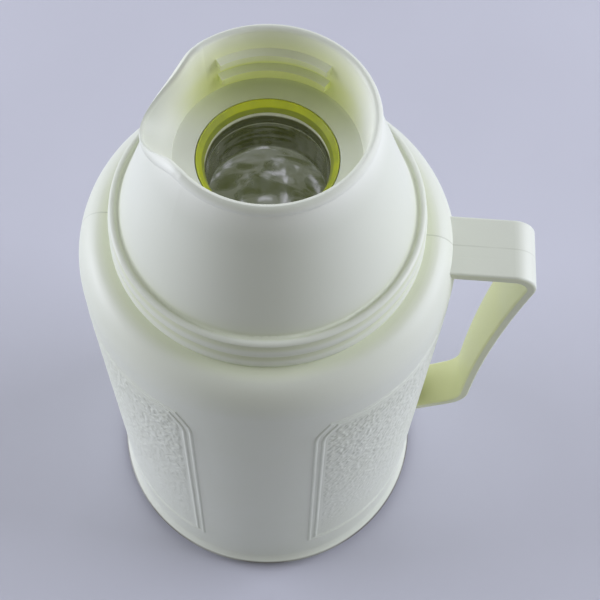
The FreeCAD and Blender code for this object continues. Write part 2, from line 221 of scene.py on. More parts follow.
class Graph:
    """A node tree that is filled through one method."""

    def __init__(self, tree: bpy.types.NodeTree) -> None:
        """Keep the tree."""
        self.tree = tree

    def node(
        self,
        kind: str,
        settings: Optional[dict[str, Any]] = None,
        sockets: Optional[dict[str, Any]] = None,
        out: Union[int, str] = 0,
    ) -> Optional[Value]:
        """Add a node.

        Args:
            kind: Node type.
            settings: Properties, set before the sockets.
            sockets: Values or links of the inputs, by identifier or name.
            out: Output that is handed back.

        Returns:
            That output, or None on a node without one.
        """
        made = self.tree.nodes.new(kind)
        for name, setting in (settings or {}).items():
            setattr(made, name, setting)
        for name, value in (sockets or {}).items():
            socket = pick(made.inputs, name)
            if isinstance(value, Value):
                self.tree.links.new(value.socket, socket)
            else:
                socket.default_value = value
        return Value(self, pick(made.outputs, out)) if made.outputs else None

    def parts(self, vector: Value) -> tuple[Value, Value, Value]:
        """Split a vector into X, Y and Z."""
        split = self.node("ShaderNodeSeparateXYZ", {}, {"Vector": vector}).socket.node
        return tuple(Value(self, socket) for socket in split.outputs)

    def cloud_at(self, cloud: Cloud, where: Value) -> Value:
        """Cloudy noise at a place.

        Args:
            cloud: Scale, octaves and distortion.
            where: The place.

        Returns:
            The noise, from 0 to 1 about 0.5.
        """
        sockets = {
            "Vector": where,
            "Scale": cloud.scale,
            "Detail": cloud.detail,
            "Distortion": cloud.warp,
        }
        return self.node("ShaderNodeTexNoise", {}, sockets, "Fac")


class Paint(Graph):
    """A material's node tree, on Object coordinates."""

    def __init__(self, name: str) -> None:
        """Start an empty material.

        Args:
            name: Name of the material.
        """
        self.material = bpy.data.materials.new(name)
        self.material.use_nodes = True
        super().__init__(self.material.node_tree)
        self.tree.nodes.clear()
        self.place = self.node("ShaderNodeTexCoord", out="Object")

    def where(self) -> tuple[Value, Value, Value]:
        """Place on the piece: out to the handle, across to the back, and up."""
        return self.parts(self.place)

    def facing(self) -> tuple[Value, Value, Value]:
        """Way that the surface looks: out, across and up."""
        return self.parts(self.node("ShaderNodeNewGeometry", out="Normal"))

    def axis_distance(self) -> Value:
        """Distance from the jug's axis."""
        x, y, _ = self.where()
        return x.math("SQRT", x * x + y * y)

    def noise(self, cloud: Cloud) -> Value:
        """Cloudy noise on the piece.

        Args:
            cloud: Scale, octaves and distortion, and any stretch.

        Returns:
            The noise, from 0 to 1 about 0.5.
        """
        if cloud.stretch is None:
            return self.cloud_at(cloud, self.place)
        sockets = {"Vector": self.place, "Rotation": cloud.turn, "Scale": cloud.stretch}
        return self.cloud_at(cloud, self.node("ShaderNodeMapping", {}, sockets))

    def ripple(self, cloud: Cloud, size: float) -> Value:
        """Cloudy noise about 0, of a given size."""
        return (self.noise(cloud) - 0.5) * size

    def mix(self, factor: Number, first: Any, second: Any) -> Value:
        """Mix two colours.

        Args:
            factor: Share of the second one.
            first: Colour or link.
            second: Colour or link.

        Returns:
            The mixed colour.
        """
        sockets = {"Factor_Float": factor}
        for name, colour in (("A_Color", first), ("B_Color", second)):
            sockets[name] = colour if isinstance(colour, Value) else (*colour, 1.0)
        return self.node("ShaderNodeMix", {"data_type": "RGBA"}, sockets, "Result_Color")

    def bump(self, height: Value, distance: float) -> Value:
        """Normals bent by a height, where 1 stands for the distance in metres."""
        return self.node("ShaderNodeBump", {}, {"Height": height, "Distance": distance})

    def closed(self, sockets: dict[str, Any]) -> bpy.types.Material:
        """Finish the material with a principled shader.

        Args:
            sockets: The shader's inputs.

        Returns:
            The material.
        """
        shader = self.node("ShaderNodeBsdfPrincipled", {}, sockets)
        self.node("ShaderNodeOutputMaterial", {}, {"Surface": shader})
        return self.material


class Recipe(Graph):
    """A Geometry Nodes tree with named sizes that ends as a plain mesh piece."""

    def __init__(self, name: str) -> None:
        """Start an empty tree.

        Args:
            name: Name of the tree and of the piece that it makes.
        """
        super().__init__(bpy.data.node_groups.new(name, "GeometryNodeTree"))
        self.name = name
        self.values: dict[str, Any] = {}
        self.tree.interface.new_socket("Geometry", in_out="OUTPUT", socket_type="NodeSocketGeometry")
        self.entry = self.tree.nodes.new("NodeGroupInput")

    def size(self, name: str, value: Union[int, float]) -> Value:
        """Add a named input.

        Args:
            name: Name of the size.
            value: What the piece uses for it.

        Returns:
            The input in arithmetic.
        """
        kind = "NodeSocketInt" if isinstance(value, int) else "NodeSocketFloat"
        entry = self.tree.interface.new_socket(name, in_out="INPUT", socket_type=kind)
        self.values[entry.identifier] = value
        return Value(self, pick(self.entry.outputs, entry.identifier))

    def vector(self, x: Number, y: Number, z: Number) -> Value:
        """Vector from three numbers."""
        return self.node("ShaderNodeCombineXYZ", {}, {"X": x, "Y": y, "Z": z})

    def piece(self, shape: Value, material: bpy.types.Material) -> bpy.types.Object:
        """Close the tree and turn it into a plain mesh.

        Args:
            shape: Geometry that the tree made.
            material: Material of the piece.

        Returns:
            An object at the origin with the mesh.
        """
        real = self.node("GeometryNodeRealizeInstances", {}, {"Geometry": shape})
        smooth = self.node("GeometryNodeSetShadeSmooth", {}, {"Geometry": real})
        painted = self.node("GeometryNodeSetMaterial", {}, {"Geometry": smooth, "Material": material})
        self.node("NodeGroupOutput", {}, {"Geometry": painted})
        holder = bpy.data.objects.new(self.name, bpy.data.meshes.new(self.name))
        bpy.context.scene.collection.objects.link(holder)
        modifier = holder.modifiers.new(self.name, "NODES")
        modifier.node_group = self.tree
        for identifier, value in self.values.items():
            modifier[identifier] = value
        bpy.context.view_layer.update()
        depsgraph = bpy.context.evaluated_depsgraph_get()
        mesh = bpy.data.meshes.new_from_object(holder.evaluated_get(depsgraph), depsgraph=depsgraph)
        holder.modifiers.remove(modifier)
        holder.data = mesh
        return holder


@dataclass(frozen=True)
class Mark:
    """A mark on the plastic, from age, from painted light and shade, or from both: a colour, laid where its
    mask says.
    """

    colour: Colour

    def mask(self, paint: Paint) -> Value:
        """Where the mark lies, from 0 to 1."""
        raise NotImplementedError

    def over(self, paint: Paint, under: Union[Colour, Value]) -> Value:
        """Colour underneath with the mark over it."""
        return paint.mix(self.mask(paint), under, self.colour)


@dataclass(frozen=True)
class Ageing(Mark):
    """Faint clouds of older-looking plastic."""

    colour: Colour = (0.74, 0.78, 0.62)
    cloud: Cloud = Cloud(11.0, 3.0)
    patch: Step = Step(0.35, 0.75, end=0.35)

    def mask(self, paint: Paint) -> Value:
        """All over the piece."""
        return paint.noise(self.cloud).rise(self.patch)


@dataclass(frozen=True)
class Specks(Mark):
    """Scattered dark dots, one at most in each cell of a lattice."""

    colour: Colour = (0.22, 0.21, 0.16)
    cells: float = 95.0
    radius: float = 0.30 * MILLIMETRE
    core: float = 0.15 * MILLIMETRE
    lot: Step = Step(0.10, 0.09, end=0.8)

    def mask(self, paint: Paint) -> Value:
        """In the cells whose random number is low.

        Args:
            paint: Tree that takes the nodes.

        Returns:
            Mask of the dots.
        """
        lattice = {"Vector": paint.place, "Scale": self.cells}
        distance = paint.node("ShaderNodeTexVoronoi", {}, lattice, "Distance")
        number = paint.parts(Value(paint, distance.socket.node.outputs["Color"]))[0]
        dot = distance.rise(Step(self.radius * self.cells, self.core * self.cells))
        return dot * number.rise(self.lot)


@dataclass(frozen=True)
class PartingLine(Mark):
    """Broken line left where the mould halves met, in the plane through the handle and the spout."""

    colour: Colour = (0.42, 0.45, 0.33)
    width: Step = Step.mm(0.32, 0.16)
    wander: Cloud = Cloud(45.0)
    wander_size: float = 0.5 * MILLIMETRE
    cloud: Cloud = Cloud(70.0)
    breaks: Step = Step(0.30, 0.62)
    strength: float = 0.45

    def line(self, paint: Paint) -> Value:
        """The line at full strength.

        Args:
            paint: Tree that takes the nodes.

        Returns:
            Mask of the line.
        """
        across = paint.where()[1] + paint.ripple(self.wander, self.wander_size)
        return abs(across).rise(self.width) * paint.noise(self.cloud).rise(self.breaks)

    def mask(self, paint: Paint) -> Value:
        """Along the casing."""
        return self.line(paint) * self.strength


@dataclass(frozen=True)
class GripGlow(Mark):
    """Painted light: a pale yellow-green glow, for light through the plastic, on the strap's faces that
    look into the grip, and a little on its edges.
    """

    colour: Colour = (0.96, 0.99, 0.52)
    low: Step = Step.mm(160.0, 145.0)
    low_share: float = 0.15
    inward: Step = Step(-0.1, -0.7, end=0.7)
    upward: Step = Step(0.1, 0.6, end=0.7)
    edge: Step = Step(0.6, 0.95, end=0.25)

    def mask(self, paint: Paint) -> Value:
        """On the inner faces, and upwards on the low leg.

        Args:
            paint: Tree that takes the nodes.

        Returns:
            Mask of the yellowing.
        """
        out, across, up = paint.facing()
        low = paint.where()[2].rise(self.low)
        inside = out.rise(self.inward).most(up.rise(self.upward) * low)
        return inside.most(abs(across).rise(self.edge)) + low * self.low_share


@dataclass(frozen=True)
class StrapLine(PartingLine):
    """Parting line on the strap, which fades under the grip's painted glow."""

    strength: float = 0.3
    grip_glow: GripGlow = GripGlow()

    def mask(self, paint: Paint) -> Value:
        """Along the strap's outer faces."""
        return self.line(paint) * (self.strength - self.grip_glow.mask(paint)).most(0.0)


@dataclass(frozen=True)
class ShoulderShade(Mark):
    """Painted shade, yellow-green, on the shoulder beside the collar's skirt."""

    colour: Colour = (0.78, 0.86, 0.36)
    reach: Step = Step.mm(59.0, 54.0)
    level: Step = Step.mm(183.5, 187.5, end=0.2)

    def mask(self, paint: Paint) -> Value:
        """On the shoulder, near the skirt."""
        return paint.axis_distance().rise(self.reach) * paint.where()[2].rise(self.level)


@dataclass(frozen=True)
class HemDirtAndShade(Mark):
    """Dirt along the edge of the flared foot, dark enough to be painted shade too, for the shadow under the
    flare.
    """

    colour: Colour = (0.075, 0.06, 0.055)
    level: Step = Step.mm(5.5, 4.8)
    cloud: Cloud = Cloud(26.0)
    patch: Step = Step(0.3, 0.6, 0.55, 0.90)

    def mask(self, paint: Paint) -> Value:
        """Below the edge's widest line, thicker in places."""
        return paint.where()[2].rise(self.level) * paint.noise(self.cloud).rise(self.patch)


@dataclass(frozen=True)
class GrooveShade(Mark):
    """Painted shade, yellow-green, in the grooves of the skirt and in the corner where the cone stands on
    it.
    """

    colour: Colour = (0.55, 0.60, 0.28)
    skirt_radius: float = 52.4 * MILLIMETRE
    skirt_bottom: float = 192.5 * MILLIMETRE
    skirt_lean: float = 0.06
    depth: Step = Step.mm(-0.35, 0.35)
    skirt_top: Step = Step.mm(205.4, 205.1)
    corner_reach: Step = Step.mm(50.2, 49.2, end=0.5)
    corner_bottom: Step = Step.mm(205.1, 205.4)
    cone_bottom: Step = Step.mm(207.4, 205.8, end=0.36)

    def mask(self, paint: Paint) -> Value:
        """Below the skirt's leaning face, and in the corner at its top.

        Args:
            paint: Tree that takes the nodes.

        Returns:
            Mask of the yellowing.
        """
        z = paint.where()[2]
        radius = paint.axis_distance()
        depth = (self.skirt_bottom - z) * self.skirt_lean + self.skirt_radius - radius
        groove = depth.rise(self.depth) * z.rise(self.skirt_top)
        corner = radius.rise(self.corner_reach) * z.rise(self.corner_bottom)
        return groove.most(corner) * z.rise(self.cone_bottom)


@dataclass(frozen=True)
class MouthGlow(Mark):
    """Painted light: paler plastic inside the mouth, from the seat up to the rim, for light that shines
    through the wall.
    """

    colour: Colour = (0.96, 0.98, 0.90)
    reach: Step = Step.mm(36.5, 30.5)
    bottom: Step = Step.mm(227.5, 229.5)
    top: Step = Step.mm(254.4, 252.4)
    level: Step = Step(0.4, 0.9, 1.0, 0.4)

    def mask(self, paint: Paint) -> Value:
        """On the wall of the mouth, and less on its level faces.

        Args:
            paint: Tree that takes the nodes.

        Returns:
            Mask of the mouth.
        """
        z = paint.where()[2]
        wall = paint.axis_distance().rise(self.reach) * z.rise(self.bottom) * z.rise(self.top)
        return wall * paint.facing()[2].rise(self.level)


@dataclass(frozen=True)
class MouthStainAndShade(MouthGlow):
    """Yellow stain on the wall of the mouth, partly painted shade, deepest low down and at the back."""

    colour: Colour = (0.92, 0.98, 0.32)
    middle: Step = Step.mm(238.4, 245.4, 1.0, 0.55)
    upper: Step = Step.mm(245.4, 254.4, end=0.35)
    back: Step = Step.mm(4.725, 26.775, 0.03, 0.88)

    def mask(self, paint: Paint) -> Value:
        """On the wall of the mouth, fading upwards and to the front.

        Args:
            paint: Tree that takes the nodes.

        Returns:
            Mask of the stain.
        """
        _, across, z = paint.where()
        fade = z.rise(self.middle) - z.rise(self.upper)
        return super().mask(paint) * fade * across.rise(self.back)


@dataclass(frozen=True)
class SeatShade(Mark):
    """Painted shade on the seat, darkest at the back and to the right."""

    colour: Colour = (0.52, 0.57, 0.34)
    seat: float = 231.5 * MILLIMETRE
    near: Step = Step.mm(2.0, 1.0)
    level: Step = Step(0.6, 0.9)
    reach: Step = Step.mm(31.5, 30.5)
    back: Step = Step.mm(0.0, 31.5, 0.05, 0.50)
    right: Step = Step.mm(-31.5, 31.5, end=0.25)

    def mask(self, paint: Paint) -> Value:
        """On the level ring round the seal.

        Args:
            paint: Tree that takes the nodes.

        Returns:
            Mask of the film.
        """
        out, across, z = paint.where()
        ring = abs(z - self.seat).rise(self.near) * paint.axis_distance().rise(self.reach)
        shade_weight = across.rise(self.back) + out.rise(self.right)
        return ring * paint.facing()[2].rise(self.level) * shade_weight


@dataclass(frozen=True)
class FootDirtAndShade(Mark):
    """Dirt on the ring that the jug stands on, dark enough there to be painted shade too for the gap under
    the flare, and in patches underneath.
    """

    colour: Colour = (0.045, 0.04, 0.045)
    wander: Cloud = Cloud(120.0)
    wander_size: float = 0.4 * MILLIMETRE
    level: Step = Step.mm(3.2, 2.9, end=0.9)
    rim: Step = Step.mm(62.0, 64.0)
    cloud: Cloud = Cloud(38.0, 4.0, 0.6)
    patch: Step = Step(0.40, 0.68, 0.08, 0.53)

    def mask(self, paint: Paint) -> Value:
        """On the foot ring's rim and the underside.

        Args:
            paint: Tree that takes the nodes.

        Returns:
            Mask of the dirt.
        """
        low = (paint.where()[2] + paint.ripple(self.wander, self.wander_size)).rise(self.level)
        patches = paint.noise(self.cloud).rise(self.patch)
        return low * paint.axis_distance().rise(self.rim).most(patches)


@dataclass(frozen=True)
class Scuffs:
    """Short fine scratches in two directions."""

    long: Cloud = Cloud(stretch=(30.0, 900.0, 260.0), turn=(0.5, 0.2, 0.9))
    long_share: Step = Step(0.67, 0.73)
    cross: Cloud = Cloud(stretch=(700.0, 40.0, 330.0), turn=(0.3, 0.8, 0.2))
    cross_share: Step = Step(0.68, 0.74)

    def mask(self, paint: Paint) -> Value:
        """All over the piece."""
        return paint.noise(self.long).rise(self.long_share) + paint.noise(self.cross).rise(self.cross_share)


# Each piece's marks: several are painted light and shade, as their names say.
MARKS: dict[Piece, tuple[Mark, ...]] = {
    Piece.CASING: (ShoulderShade(), PartingLine(), HemDirtAndShade()),
    Piece.PANEL: (),
    Piece.HANDLE: (GripGlow(), StrapLine()),
    Piece.COLLAR: (GrooveShade(), MouthGlow(), MouthStainAndShade(), SeatShade()),
    Piece.BASE: (FootDirtAndShade(),),
}


@dataclass(frozen=True)
class IvoryPlastic:
    """Aged ivory polythene: satin, gently wavy, scuffed and specked, with each piece's own marks, of age
    and of painted light and shade.
    """

    colour: Colour = (0.78, 0.81, 0.71)
    ior: float = 1.5
    roughness: float = 0.46
    gloss: Cloud = Cloud(60.0, 3.0)
    gloss_size: float = 0.16
    scuff_roughness: float = 0.12
    waves: Cloud = Cloud(19.0, 1.0)
    grain: Cloud = Cloud(850.0)
    grain_height: float = 0.05
    scuff_depth: float = 0.03
    line_height: float = 0.2
    relief: float = 0.25 * MILLIMETRE

    def material(self, piece: Piece) -> bpy.types.Material:
        """Make the material.

        Args:
            piece: Piece that it is for.

        Returns:
            The material.
        """
        paint = Paint("aged_ivory_" + piece.value)
        colour = Ageing().over(paint, self.colour)
        for mark in (*MARKS[piece], Specks()):
            colour = mark.over(paint, colour)
        scuffs = Scuffs().mask(paint)
        height = paint.noise(self.waves) + paint.noise(self.grain) * self.grain_height
        height = height - scuffs * self.scuff_depth
        if piece is Piece.CASING:
            height = height + PartingLine().line(paint) * self.line_height
        gloss = paint.ripple(self.gloss, self.gloss_size) + scuffs * self.scuff_roughness
        return paint.closed({
            "Base Color": colour,
            "Roughness": gloss + self.roughness,
            "IOR": self.ior,
            "Normal": paint.bump(height, self.relief),
        })


@dataclass(frozen=True)
class SealRubber:
    """Yellow-green soft seal, a little translucent and worn in patches; darker at its sides in painted
    shade, and below its bevel in stain and painted shade.
    """

    colour: Colour = (0.76, 0.82, 0.03)
    worn_and_shaded: Colour = (0.46, 0.52, 0.06)
    stained_and_shaded: Colour = (0.36, 0.41, 0.09)
    wear: Cloud = Cloud(140.0, 3.0)
    wear_patch: Step = Step(0.4, 0.7, end=0.3)
    painted_side_shade: Step = Step.mm(7.0, 20.0, end=0.7)
    wander: Cloud = Cloud(90.0)
    wander_size: float = 1.0 * MILLIMETRE
    bevel_bottom: Step = Step.mm(229.8, 229.4, end=0.8)
    roughness: float = 0.42
    gloss: Cloud = Cloud(260.0)
    gloss_size: float = 0.2
    translucence: float = 0.4
    light_reach: Place = (1.0, 1.0, 0.2)
    light_depth: float = 2.0 * MILLIMETRE
    grain: Cloud = Cloud(420.0)
    relief: float = 0.04 * MILLIMETRE

    def material(self) -> bpy.types.Material:
        """Make the material.

        Returns:
            The material.
        """
        paint = Paint("yellow_green_seal")
        out, _, z = paint.where()
        # Worn patches, and painted shade on the left and right sides.
        wear = paint.noise(self.wear).rise(self.wear_patch) + abs(out).rise(self.painted_side_shade)
        # Below the bevel: stain and painted shade.
        low = (z + paint.ripple(self.wander, self.wander_size)).rise(self.bevel_bottom)
        return paint.closed({
            "Base Color": paint.mix(low, paint.mix(wear, self.colour, self.worn_and_shaded), self.stained_and_shaded),
            "Roughness": paint.ripple(self.gloss, self.gloss_size) + self.roughness,
            "Subsurface Weight": self.translucence,
            "Subsurface Radius": self.light_reach,
            "Subsurface Scale": self.light_depth,
            "Normal": paint.bump(paint.noise(self.grain), self.relief),
        })


@dataclass(frozen=True)
class SilveredGlass:
    """Blown glass with a silver coat behind it; the rolled lip and the band under it have none. The lip and
    the line where the silver ends carry painted highlights, and the inner flask a painted glow deep inside.
    """

    silver: Colour = (0.94, 0.94, 0.93)
    tarnish: Colour = (0.17, 0.19, 0.04)
    deep_tarnish: Colour = (0.29, 0.33, 0.10)
    clear: Colour = (0.14, 0.15, 0.07)
    # Painted highlights: the lip's colour and the pale line where the silver ends.
    lip: Colour = (0.95, 0.96, 0.80)
    edge: Colour = (0.75, 0.77, 0.60)
    # Colours of the painted glow deep in the inner flask, and of its painted glints.
    painted_glow: Colour = (0.038, 0.041, 0.034)
    painted_dim_glow: Colour = (0.012, 0.014, 0.002)
    painted_glint: Colour = (0.26, 0.26, 0.30)
    wander: Cloud = Cloud(120.0)
    wander_size: float = 0.6 * MILLIMETRE
    silver_top: float = 222.8 * MILLIMETRE
    bare_band: Step = Step.mm(0.0, 0.25)
    lip_bottom: Step = Step.mm(226.0, 226.5)
    edge_width: Step = Step.mm(0.5, 0.125, end=0.8)
    neck_bottom: Step = Step.mm(211.0, 209.0)
    streaks: Cloud = Cloud(detail=3.0, stretch=(60.0, 60.0, 420.0))
    blotches: Cloud = Cloud(80.0, 4.0, 0.8)
    streak_share: float = 0.5
    stain: Step = Step(0.42, 0.58)
    neck_tarnish: float = 0.65
    neck_stain: float = 0.35
    deep_stain: float = 0.8
    metal: float = 0.60
    stain_dulling: float = 0.25
    deep_dulling: float = 0.35
    roughness: float = 0.16
    stain_roughness: float = 0.14
    coat: float = 0.4
    deep_coat: float = 0.5
    coat_roughness: float = 0.04
    waves: Cloud = Cloud(30.0)
    streak_height: float = 0.2
    relief: float = 0.7 * MILLIMETRE
    glow: Cloud = Cloud(warp=0.5, stretch=(115.0, 115.0, 60.0))
    glow_patch: Step = Step(0.40, 0.56)
    glint_patch: Step = Step(0.56, 0.70)

    def material(self, flask: Flask) -> bpy.types.Material:
        """Make the material.

        Args:
            flask: Wall that it is for.

        Returns:
            The material.
        """
        paint = Paint("silvered_glass_" + flask.value)
        height = paint.where()[2] + paint.ripple(self.wander, self.wander_size)
        above = height - self.silver_top
        bare = above.rise(self.bare_band)
        deep = height.rise(self.neck_bottom)
        streaks = paint.noise(self.streaks)
        blotches = paint.noise(self.blotches)
        stain = (blotches + (streaks - blotches) * (1.0 - deep) * self.streak_share).rise(self.stain)
        colour = paint.mix(stain * self.neck_stain + self.neck_tarnish, self.silver, self.tarnish)
        deep_colour = paint.mix(stain * self.deep_stain, self.silver, self.deep_tarnish)
        colour = paint.mix(deep, colour, deep_colour)
        colour = paint.mix(bare, colour, self.clear)
        # Painted highlights: a pale lip, and a pale line where the silver ends.
        colour = paint.mix(height.rise(self.lip_bottom), colour, self.lip)
        colour = paint.mix(abs(above).rise(self.edge_width), colour, self.edge)
        metal = (1.0 - bare) * (self.metal - stain * self.stain_dulling)
        wavy = paint.noise(self.waves) + streaks * (1.0 - deep) * self.streak_height
        sockets = {
            "Base Color": colour,
            "Metallic": metal * (1.0 - deep * self.deep_dulling),
            "Roughness": stain * self.stain_roughness + self.roughness,
            "Coat Weight": deep * self.deep_coat + self.coat,
            "Coat Roughness": self.coat_roughness,
            "Normal": paint.bump(wavy, self.relief),
        }
        # Painted glow: the inner flask gives off faint patchy light deep down.
        if flask is Flask.INNER:
            sockets["Emission Color"] = paint.mix(deep, BLACK, self.painted_glow_pattern(paint))
            sockets["Emission Strength"] = 1.0
        return paint.closed(sockets)

    def painted_glow_pattern(self, paint: Paint) -> Value:
        """Painted glow with painted glints: faint patchy light given off deep in the flask, for what
        crosses a silvered flask more often than a picture follows.

        Args:
            paint: Tree that takes the nodes.

        Returns:
            Colour of the light.
        """
        patches = paint.noise(self.glow)
        glow = paint.mix(patches.rise(self.glow_patch), self.painted_dim_glow, self.painted_glow)
        return paint.mix(patches.rise(self.glint_patch), glow, self.painted_glint)


@dataclass(frozen=True)
class FibrePad:
    """Pressed fibre of the spacers between the glass walls."""

    colour: Colour = (0.50, 0.44, 0.34)
    dark: Colour = (0.34, 0.29, 0.21)
    fibres: Cloud = Cloud(detail=3.0, stretch=(2600.0, 700.0, 900.0), turn=(0.3, 0.4, 0.7))
    fibre_patch: Step = Step(0.35, 0.7)
    roughness: float = 0.9
    relief: float = 0.2 * MILLIMETRE

    def material(self) -> bpy.types.Material:
        """Make the material.

        Returns:
            The material.
        """
        paint = Paint("pressed_fibre")
        fibres = paint.noise(self.fibres)
        return paint.closed({
            "Base Color": paint.mix(fibres.rise(self.fibre_patch), self.colour, self.dark),
            "Roughness": self.roughness,
            "Normal": paint.bump(fibres, self.relief),
        })


@dataclass(frozen=True)
class CushionRubber:
    """Dull grey rubber of the cup under the liner, with a paler bloom."""

    colour: Colour = (0.16, 0.16, 0.15)
    bloom: Colour = (0.27, 0.27, 0.25)
    cloud: Cloud = Cloud(55.0, 4.0)
    patch: Step = Step(0.4, 0.75)
    bloom_share: float = 0.7
    roughness: float = 0.6
    bloom_roughness: float = 0.15
    grain: Cloud = Cloud(900.0)
    relief: float = 0.05 * MILLIMETRE

    def material(self) -> bpy.types.Material:
        """Make the material.

        Returns:
            The material.
        """
        paint = Paint("dull_rubber")
        bloom = paint.noise(self.cloud).rise(self.patch)
        return paint.closed({
            "Base Color": paint.mix(bloom * self.bloom_share, self.colour, self.bloom),
            "Roughness": bloom * self.bloom_roughness + self.roughness,
            "Normal": paint.bump(paint.noise(self.grain), self.relief),
        })


@dataclass(frozen=True)
class FloorPaper:
    """Pale lavender paper."""

    colour: Colour = (0.585, 0.592, 0.66)
    shade: Colour = (0.545, 0.551, 0.615)
    cloud: Cloud = Cloud(5.0, 3.0)
    patch: Step = Step(0.35, 0.7, end=0.5)
    roughness: float = 0.9
    shine: float = 0.2
    waves: Cloud = Cloud(24.0, 3.0)
    relief: float = 0.4 * MILLIMETRE

    def material(self) -> bpy.types.Material:
        """Make the material.

        Returns:
            The material.
        """
        paint = Paint("lavender_paper")
        cloud = paint.noise(self.cloud).rise(self.patch)
        return paint.closed({
            "Base Color": paint.mix(cloud, self.colour, self.shade),
            "Roughness": self.roughness,
            "Specular IOR Level": self.shine,
            "Normal": paint.bump(paint.noise(self.waves), self.relief),
        })


@dataclass
class StipplePanel:
    """Wormy stippled relief inside the frame lines on one side of the casing.

    The slab starts as a flat block: from -1 to 1 across, and from -0.5 to 0.5 up and through.
    """

    side: Side
    block: Place = (2.0, 1.0, 1.0)
    layers: int = 2
    wall_low_radius: float = 65.5 * MILLIMETRE
    wall_low: float = 10.0 * MILLIMETRE
    wall_top_radius: float = 65.0 * MILLIMETRE
    wall_top: float = 177.5 * MILLIMETRE
    bottom: float = 30.2 * MILLIMETRE
    corner: float = 153.6 * MILLIMETRE
    top: float = 162.3 * MILLIMETRE
    bottom_half_angle: float = math.radians(65.4)
    corner_half_angle: float = math.radians(67.0)
    top_half_angle: float = math.radians(62.6)
    spacing: float = 0.47 * MILLIMETRE
    weld: float = 0.0235 * MILLIMETRE
    back_columns: int = 24
    relief: float = 0.38 * MILLIMETRE
    sink: float = 0.12 * MILLIMETRE
    root: float = 0.8 * MILLIMETRE
    border: float = 1.2 * MILLIMETRE
    worn_share: float = 0.4
    seed: float = 0.37
    grain: Cloud = Cloud(480.0, 1.0, 0.5)
    worm_width: Step = Step(0.17, 0.03)
    gaps: Cloud = Cloud(336.0, 0.0)
    gap_height: Step = Step(0.3, 0.5, 0.5, 1.0)

    def build(self, material: bpy.types.Material) -> bpy.types.Object:
        """Wrap a fine closed slab on the wall and raise its grain.

        Args:
            material: Plastic of the casing.

        Returns:
            The panel.
        """
        recipe = Recipe("stipple_panel_" + self.side.name.lower())
        height = self.top - self.bottom
        width = 2 * self.corner_half_angle * self.wall_top_radius
        slab = recipe.node("GeometryNodeMeshCube", {}, {
            "Size": self.block,
            "Vertices X": recipe.size("Columns", round(width / self.spacing)),
            "Vertices Y": recipe.size("Rows", round(height / self.spacing)),
            "Vertices Z": self.layers,
        }, "Mesh")
        across, up, layer = recipe.parts(recipe.node("GeometryNodeInputPosition"))
        back = 0.5 - layer
        across = across + (across.snapped(self.back_columns) - across) * back
        up = up + (up.snapped(self.back_columns) - up) * back
        z = (up + 0.5) * height + self.bottom
        half_angle = self.half_angle(z)
        azimuth = across * half_angle + recipe.size("Turn", self.side.value)
        draft = (self.wall_low_radius - self.wall_top_radius) / (self.wall_top - self.wall_low)
        wall = (self.wall_top - z) * draft + self.wall_top_radius
        flat = recipe.vector(azimuth * self.wall_top_radius, z, recipe.size("Seed", self.seed))
        from_side = (1.0 - abs(across)) * half_angle * self.wall_top_radius
        from_end = (0.5 - abs(up)) * height
        fade = from_side.least(from_end).share(Step(0.0, self.border))
        wear = z.share(Step(self.bottom, self.corner, self.worn_share, 1.0))
        grain = self.grain_height(recipe, flat) * recipe.size("Relief", self.relief) * fade * wear
        outside = wall + grain - self.sink
        inside = wall - self.root
        radius = inside + (outside - inside) * (layer + 0.5)
        x = radius * azimuth.math("COSINE", azimuth)
        y = radius * azimuth.math("SINE", azimuth)
        places = {"Geometry": slab, "Position": recipe.vector(x, y, z)}
        wrapped = recipe.node("GeometryNodeSetPosition", {}, places)
        joined = {"Geometry": wrapped, "Distance": self.weld}
        return recipe.piece(recipe.node("GeometryNodeMergeByDistance", {}, joined), material)

    def half_angle(self, z: Value) -> Value:
        """Half the panel's angle about the axis, from its bottom to its cut corners and its top.

        Args:
            z: Height.

        Returns:
            The angle.
        """
        lower = Step(self.bottom, self.corner, self.bottom_half_angle, self.corner_half_angle)
        upper = Step(self.corner, self.top, end=self.top_half_angle - self.corner_half_angle)
        return z.share(lower) + z.share(upper)

    def grain_height(self, recipe: Recipe, flat: Value) -> Value:
        """Height of the worm-like grain.

        Args:
            recipe: Tree that takes the nodes.
            flat: Place on the unrolled wall.

        Returns:
            The height, from 0 to 1.
        """
        worms = abs(recipe.cloud_at(self.grain, flat) - 0.5).rise(self.worm_width)
        return worms * recipe.cloud_at(self.gaps, flat).rise(self.gap_height)


